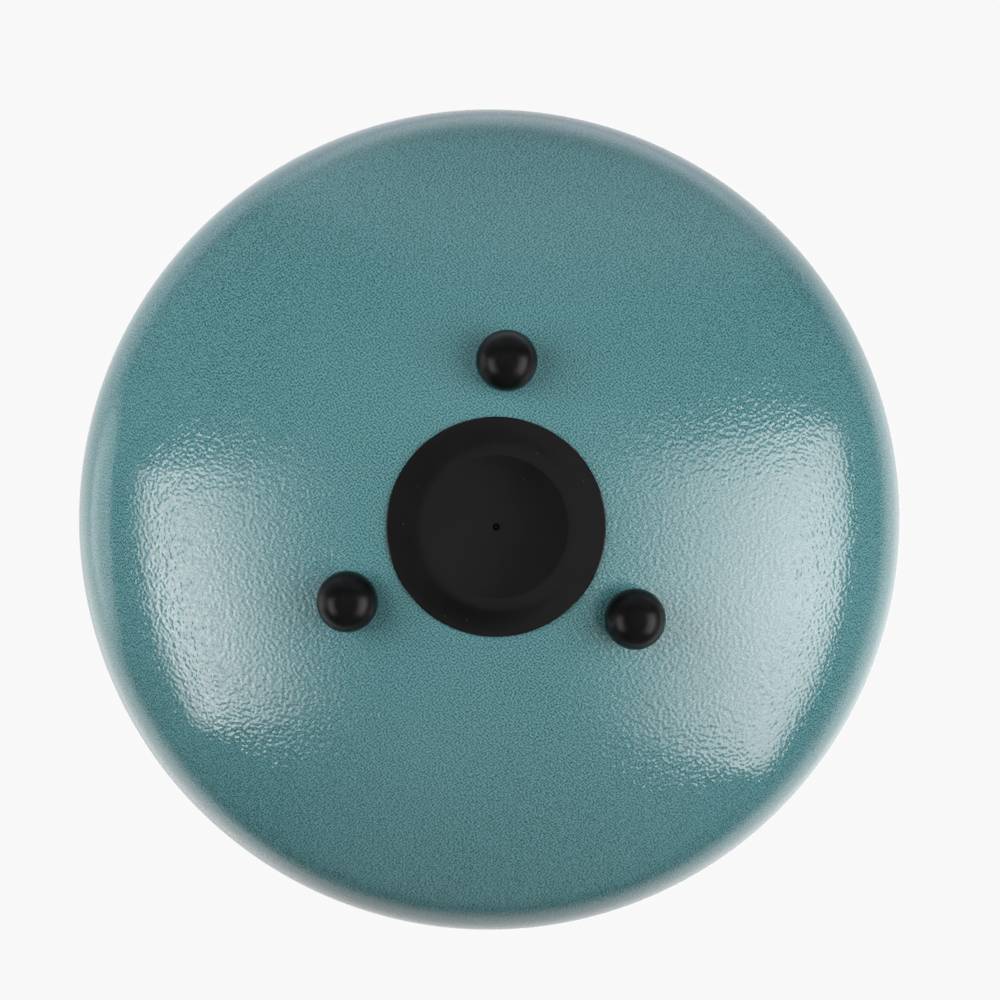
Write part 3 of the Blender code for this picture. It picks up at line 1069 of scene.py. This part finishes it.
class DRUM_OT_foot_fixings(bpy.types.Operator):
    """Make the studs, washers and nuts that hold the feet"""

    bl_idname = "drum.foot_fixings"
    bl_label = "Foot fixings"

    steps = 48
    hollow_allowance = 0.2 * MM
    rows_per_turn = 8
    end_chamfer = 0.6 * MM
    edge_round = 0.2 * MM
    nut_rows = 6
    nut_chamfer = 0.55 * MM
    nut_face = 0.97
    chamfer_slope = math.tan(math.radians(60.0))

    def execute(self, context):
        form = Form(context.scene)
        feet = form.feet
        washer_base = form.domes.sheet + GAP + self.hollow_allowance
        nut_base = washer_base + feet.washer_thickness + GAP
        top = nut_base + feet.nut_height + feet.past_nut
        for place in FOOT_AZIMUTHS:
            shapes = {
                "stud": self.stud(feet, top),
                "washer": self.washer(feet, washer_base),
                "nut": self.nut(feet, nut_base),
            }
            for kind, mesh in shapes.items():
                bmesh.ops.transform(mesh, matrix=form.foot_matrix(place), verts=mesh.verts[:])
                piece = add_piece(f"plated_{kind}_{place}", mesh, "zinc_plated_steel")
                dress(piece, "drum", "zinc_steel", f"foot_{kind}_{place}")
        return {"FINISHED"}

    def stud(self, feet, top):
        """A screw thread down to the head that is moulded into the foot."""
        pen = section(0.0, top)
        pen.line(feet.stud_radius - self.end_chamfer, top)
        pen.line(feet.stud_radius, top - self.end_chamfer)
        run = top - self.end_chamfer + feet.head_depth
        count = math.ceil(run / feet.thread_pitch * self.rows_per_turn)
        for row in range(1, count + 1):
            pen.line(feet.stud_radius, top - self.end_chamfer - run * row / count)
        pen.line(feet.head_radius, -feet.head_depth)
        pen.line(feet.head_radius, -feet.head_depth - feet.head_height)
        pen.line(0.0, -feet.head_depth - feet.head_height)
        mesh = pen.turn(self.steps)
        for vert in mesh.verts:
            radius = vert.co.xy.length
            if abs(radius - feet.stud_radius) > MERGE_DISTANCE:
                continue
            fade = min(1.0, max(0.0, (vert.co.z + feet.head_depth) / feet.thread_pitch))
            turn = math.atan2(vert.co.y, vert.co.x) / (2 * math.pi)
            phase = (vert.co.z / feet.thread_pitch - turn) % 1.0
            groove = 1.0 - abs(2.0 * phase - 1.0)
            vert.co.xy *= 1.0 - feet.thread_depth * fade * groove / radius
        bmesh.ops.recalc_face_normals(mesh, faces=mesh.faces[:])
        return mesh

    def washer(self, feet, base):
        pen = section(feet.stud_radius + GAP, base)
        pen.line(feet.washer_radius, base)
        pen.line(feet.washer_radius, base + feet.washer_thickness)
        pen.line(feet.stud_radius + GAP, base + feet.washer_thickness)
        pen.close()
        mesh = pen.turn(self.steps)
        soften(mesh, sharp_edges(mesh), self.edge_round, segments=2)
        return mesh

    def nut(self, feet, base):
        """A hexagon whose corners are turned off at both faces."""
        flat = feet.nut_width / 2
        bore = feet.stud_radius - feet.thread_depth / 2
        top = base + feet.nut_height
        heights = [base + self.nut_chamfer * i / self.nut_rows for i in range(self.nut_rows + 1)]
        heights += [top - height + base for height in reversed(heights)]
        pen = section(bore, base)
        for height in heights:
            pen.line(feet.nut_width, height)
        pen.line(bore, top)
        pen.close()
        mesh = pen.turn(self.steps)
        for vert in mesh.verts:
            radius = vert.co.xy.length
            if radius < (bore + feet.nut_width) / 2:
                continue
            turn = math.atan2(vert.co.y, vert.co.x) % (math.pi / 3)
            hexagon = flat / math.cos(turn - math.pi / 6)
            depth = min(vert.co.z - base, top - vert.co.z)
            vert.co.xy *= min(hexagon, flat * self.nut_face + depth * self.chamfer_slope) / radius
        tidy(mesh)
        return mesh


# Stage


class DRUM_OT_stage(bpy.types.Operator):
    """Set up the camera, the floor, the surround and the lights"""

    bl_idname = "drum.stage"
    bl_label = "Stage"

    floor_radius = 1.6
    floor_steps = 64
    floor_fade_start = 0.7
    floor_fade_end = 1.52
    # Strength of the floor's glow, which is painted light.
    floor_painted_glow = 0.8
    mottle_scale = 90.0
    mottle_share = 0.08
    mottle_tone = 0.9
    # Reach and samples of the painted contact shadow that darkens the floor's glow.
    painted_shadow_reach = 0.12
    painted_shadow_samples = 8
    table_low = 0.10
    table_high = 0.50
    tint_low = 0.1
    tint_high = 0.7
    upper_tint = (0.92, 1.0, 1.08)

    def execute(self, context):
        studio = context.scene.drum_studio
        middle = Vector((0.0, 0.0, Form(context.scene).seam))
        axes = self.camera(context.scene, studio, middle)
        self.floor(studio)
        self.surround(context.scene, studio, axes)
        for name, softbox in SOFTBOXES.items():
            self.softbox(studio, middle, axes, name, softbox)
        for name, fill in FILLS.items():
            self.fill(studio, middle, axes, name, fill)
        context.scene.view_settings.view_transform = "Standard"
        return {"FINISHED"}

    def camera(self, scene, studio, middle):
        """Looks up at the base; gives picture right, picture up and towards the camera as columns."""
        lean = studio.camera_lean
        off_axis = Vector((math.cos(studio.camera_side), math.sin(studio.camera_side), 0.0)) * math.sin(lean)
        place = middle + (off_axis - Vector((0.0, 0.0, math.cos(lean)))) * studio.camera_distance
        right = Vector((-math.cos(studio.camera_roll), math.sin(studio.camera_roll), 0.0))
        up = Vector((math.sin(studio.camera_roll), math.cos(studio.camera_roll), 0.0))
        aim = middle + right * studio.aim_right + up * studio.aim_up
        back = (place - aim).normalized()
        right = (right - back * right.dot(back)).normalized()
        axes = Matrix((right, back.cross(right), back)).transposed()
        camera = bpy.data.objects.new("camera", bpy.data.cameras.new("camera"))
        camera.data.lens = studio.camera_lens
        camera.matrix_world = Matrix.Translation(place) @ axes.to_4x4()
        scene.collection.objects.link(camera)
        scene.camera = camera
        return axes

    def floor(self, studio):
        """A pale disc that fades out. It glows with painted light, darkened under the drum by a painted
        contact shadow. It is clear from below, and stays so for what is seen through it.
        """
        mesh = bmesh.new()
        bmesh.ops.create_circle(mesh, cap_ends=True, segments=self.floor_steps, radius=self.floor_radius)
        bmesh.ops.recalc_face_normals(mesh, faces=mesh.faces[:])
        material, graph = new_material("pale_floor")
        place = graph.place()
        mottle = graph.noise(place, self.mottle_scale, 3.0) * self.mottle_share
        tone = graph.mix(mottle, opaque(studio.floor_tone), opaque(studio.floor_tone * self.mottle_tone))
        lit = graph.node("ShaderNodeBsdfDiffuse", {}, {"Color": tone})
        # Painted light and shade: the floor glows, and ambient occlusion darkens the glow as a painted contact
        # shadow under the drum and feet.
        painted_shadow_sockets = {"Color": tone, "Distance": self.painted_shadow_reach}
        glow_with_painted_shadow = graph.node("ShaderNodeAmbientOcclusion", {"samples": self.painted_shadow_samples}, painted_shadow_sockets)
        glow = graph.node("ShaderNodeEmission", {}, {"Color": glow_with_painted_shadow, "Strength": self.floor_painted_glow})
        pale = graph.node("ShaderNodeAddShader", {}, {0: lit, 1: glow})
        clear = graph.node("ShaderNodeBsdfTransparent")
        away = graph.vector("LENGTH", place, output="Value")
        below = graph.node("ShaderNodeNewGeometry", output="Backfacing")
        faded = graph.step(away, self.floor_fade_start, self.floor_fade_end)
        gone = below.math("MAXIMUM", below, faded)
        gone = gone.math("MAXIMUM", gone, graph.node("ShaderNodeLightPath", output="Transparent Depth"))
        mixed = graph.node("ShaderNodeMixShader", {}, {0: gone, 1: pale, 2: clear})
        graph.node("ShaderNodeOutputMaterial", {}, {"Surface": mixed})
        floor = add_piece("pale_floor", mesh, material.name)
        if floor.data.polygons[0].normal.z < 0:
            floor.data.flip_normals()

    def surround(self, scene, studio, axes):
        """What the paint reflects: pale cards round the drum and the pale table behind it."""
        world = bpy.data.worlds.new("studio_surround")
        world.use_nodes = True
        scene.world = world
        world.cycles_visibility.diffuse = False
        graph = Graph(world.node_tree)
        view = graph.node("ShaderNodeTexCoord", output="Generated")
        table = graph.step(graph.along(view, 2), self.table_low, self.table_high)
        level = table * studio.table_light + studio.room_light
        for card in CARDS.values():
            aim = axes @ picture_direction(card.azimuth, card.off_axis)
            facing = graph.vector("DOT_PRODUCT", view, aim, output="Value")
            rim = math.cos(math.radians(card.outer))
            core = math.cos(math.radians(card.inner))
            level = level + graph.step(facing, rim, core) * card.light
        height = graph.vector("DOT_PRODUCT", view, axes @ Vector((0.0, 1.0, 0.0)), output="Value")
        upper = graph.step(height, self.tint_low, self.tint_high)
        tint = graph.mix(upper, opaque((1.0, 1.0, 1.0)), opaque(self.upper_tint))
        seen = graph.node("ShaderNodeLightPath", output="Is Camera Ray")
        light = graph.node("ShaderNodeBackground", {}, {"Color": tint, "Strength": level})
        plain = graph.node("ShaderNodeBackground", {}, {"Color": opaque(studio.backdrop)})
        mixed = graph.node("ShaderNodeMixShader", {}, {0: seen, 1: light, 2: plain})
        graph.node("ShaderNodeOutputWorld", {}, {"Surface": mixed})

    def softbox(self, studio, middle, axes, name, softbox):
        """A rectangular light that glows by one ramp along it and by another across it, from outside in."""
        azimuth = math.radians(softbox.azimuth)
        out = axes @ picture_direction(softbox.azimuth, 90.0 - softbox.tilt)
        along = axes @ Vector((-math.sin(azimuth), math.cos(azimuth), 0.0))
        across = out.cross(along)
        low, high = softbox.along
        outer, inner = softbox.across
        light = bpy.data.lights.new(f"softbox_{name}", "AREA")
        light.shape = "RECTANGLE"
        light.size = high - low
        light.size_y = inner - outer
        light.energy = math.pi * light.size * light.size_y * softbox.power * studio.softbox_power
        light.color = studio.softbox_tone
        light.use_nodes = True
        graph = Graph(light.node_tree)
        place = graph.node("ShaderNodeNewGeometry", output="Parametric")
        glow = 1.0
        for axis, stops in enumerate((softbox.glow_along, softbox.glow_across)):
            ramp = graph.node("ShaderNodeValToRGB", {"stops": stops}, {0: graph.along(place, axis)})
            glow = graph.node("ShaderNodeSeparateColor", {}, {0: ramp}) * glow
        shine = graph.node("ShaderNodeEmission", {}, {"Strength": glow})
        graph.node("ShaderNodeOutputLight", {}, {"Surface": shine})
        shift = along * (low + high) / 2 + across * (outer + inner) / 2
        spot = middle + out * studio.softbox_distance + shift
        lamp = self.hang(light, spot, Matrix((along, across, out)).transposed())
        lamp.visible_diffuse = False

    def fill(self, studio, middle, axes, name, fill):
        """A round light that shades the drum without showing in its gloss."""
        out = axes @ picture_direction(fill.azimuth, fill.off_axis)
        light = bpy.data.lights.new(f"fill_{name}", "AREA")
        light.shape = "DISK"
        light.size = fill.size
        light.energy = fill.power * studio.fill_power
        lamp = self.hang(light, middle + out * fill.distance, out.to_track_quat("Z", "Y").to_matrix())
        lamp.visible_glossy = False

    def hang(self, light, spot, turn):
        """Puts a light in its place."""
        lamp = bpy.data.objects.new(light.name, light)
        lamp.matrix_world = Matrix.Translation(spot) @ turn.to_4x4()
        bpy.context.scene.collection.objects.link(lamp)
        return lamp


SOFTBOXES = {
    "left": SimpleNamespace(
        azimuth=182.2,
        tilt=51.0,
        power=1.40,
        along=(-0.17, 0.75),
        across=(-0.57, 0.16),
        glow_along=((0, 0.78), (0.25, 0.82), (0.48, 0.97), (0.68, 0.86), (1, 0.77)),
        glow_across=((0, 0.4), (0.09, 0.47), (0.2, 0.92), (0.31, 0.61), (0.48, 0.47), (0.74, 0.18), (1, 0)),
    ),
    "right": SimpleNamespace(
        azimuth=5.8,
        tilt=31.7,
        power=1.32,
        along=(-1.14, 0.14),
        across=(-0.31, 0.80),
        glow_along=((0, 0.68), (0.12, 0.74), (0.28, 0.78), (0.6, 1), (0.84, 0.88), (1, 0.7)),
        glow_across=((0, 0.49), (0.05, 0.64), (0.14, 0.79), (0.35, 0.58), (0.53, 0.4), (0.75, 0.14), (1, 0)),
    ),
}

Fill = namedtuple("Fill", "azimuth off_axis distance size power")

FILLS = {
    "front_left": Fill(167.0, 40.0, 1.0, 0.80, 0.63),
    "front_right": Fill(358.0, 35.0, 1.0, 0.80, 0.65),
    "right": Fill(352.0, 78.0, 1.0, 0.85, 0.54),
    "left": Fill(170.0, 75.0, 1.0, 0.85, 0.33),
    "above": Fill(120.0, 168.0, 1.6, 1.20, 3.2),
}

Card = namedtuple("Card", "azimuth off_axis inner outer light")

CARDS = {
    "overhead": Card(60.0, 12.0, 12.0, 46.0, 0.22),
    "front": Card(342.0, 12.6, 5.0, 15.0, 0.32),
    "upper": Card(82.0, 90.0, 36.0, 48.0, 0.60),
    "upper_left": Card(128.0, 92.0, 12.0, 34.0, 0.30),
    "left": Card(181.0, 98.0, 11.0, 22.0, 1.80),
    "lower_left": Card(210.0, 125.0, 10.0, 34.0, 0.60),
    "right": Card(335.0, 127.0, 15.0, 42.0, 0.45),
    "lower": Card(275.0, 60.0, 15.0, 42.0, 0.30),
    "behind": Card(90.0, 180.0, 15.0, 40.0, -0.25),
    "lamp": Card(90.0, 180.0, 5.0, 10.0, 4.50),
    "camera": Card(268.0, 15.0, 2.0, 8.0, -0.14),
}


def picture_direction(azimuth, off_axis):
    """A direction in the picture's axes, from its turn round the view and its angle off it, in degrees."""
    turn = math.radians(azimuth)
    off = math.radians(off_axis)
    return Vector((math.sin(off) * math.cos(turn), math.sin(off) * math.sin(turn), math.cos(off)))


# Panel and registration

GROUPS = {
    "drum_domes": DomeSizes,
    "drum_plug": PlugSizes,
    "drum_feet": FootSizes,
    "drum_tongues": TongueSizes,
    "drum_finish": Finish,
    "drum_studio": Studio,
}

OPERATORS = (
    DRUM_OT_stage,
    DRUM_OT_lower_dome,
    DRUM_OT_upper_dome,
    DRUM_OT_tongues,
    DRUM_OT_rim_weld,
    DRUM_OT_plug,
    DRUM_OT_ball_feet,
    DRUM_OT_foot_fixings,
)


class VIEW3D_PT_drum(bpy.types.Panel):
    """Sizes and finishes of the drum, and the steps that build it"""

    bl_label = "Steel tongue drum"
    bl_space_type = "VIEW_3D"
    bl_region_type = "UI"
    bl_category = "Drum"

    def draw(self, context):
        for group in GROUPS:
            box = self.layout.box()
            settings = getattr(context.scene, group)
            for name in settings.__annotations__:
                box.prop(settings, name)
        for operator in OPERATORS:
            self.layout.operator(operator.bl_idname)


CLASSES = (*GROUPS.values(), *OPERATORS, VIEW3D_PT_drum)


def register():
    for cls in CLASSES:
        bpy.utils.register_class(cls)
    for name, group in GROUPS.items():
        setattr(bpy.types.Scene, name, bpy.props.PointerProperty(type=group))


def unregister():
    for name in GROUPS:
        delattr(bpy.types.Scene, name)
    for cls in reversed(CLASSES):
        bpy.utils.unregister_class(cls)


def main():
    register()
    bpy.ops.drum.stage()
    bpy.ops.drum.lower_dome()
    bpy.ops.drum.upper_dome()
    bpy.ops.drum.tongues()
    bpy.ops.drum.rim_weld()
    bpy.ops.drum.plug()
    bpy.ops.drum.ball_feet()
    bpy.ops.drum.foot_fixings()


if __name__ == "__main__":
    main()
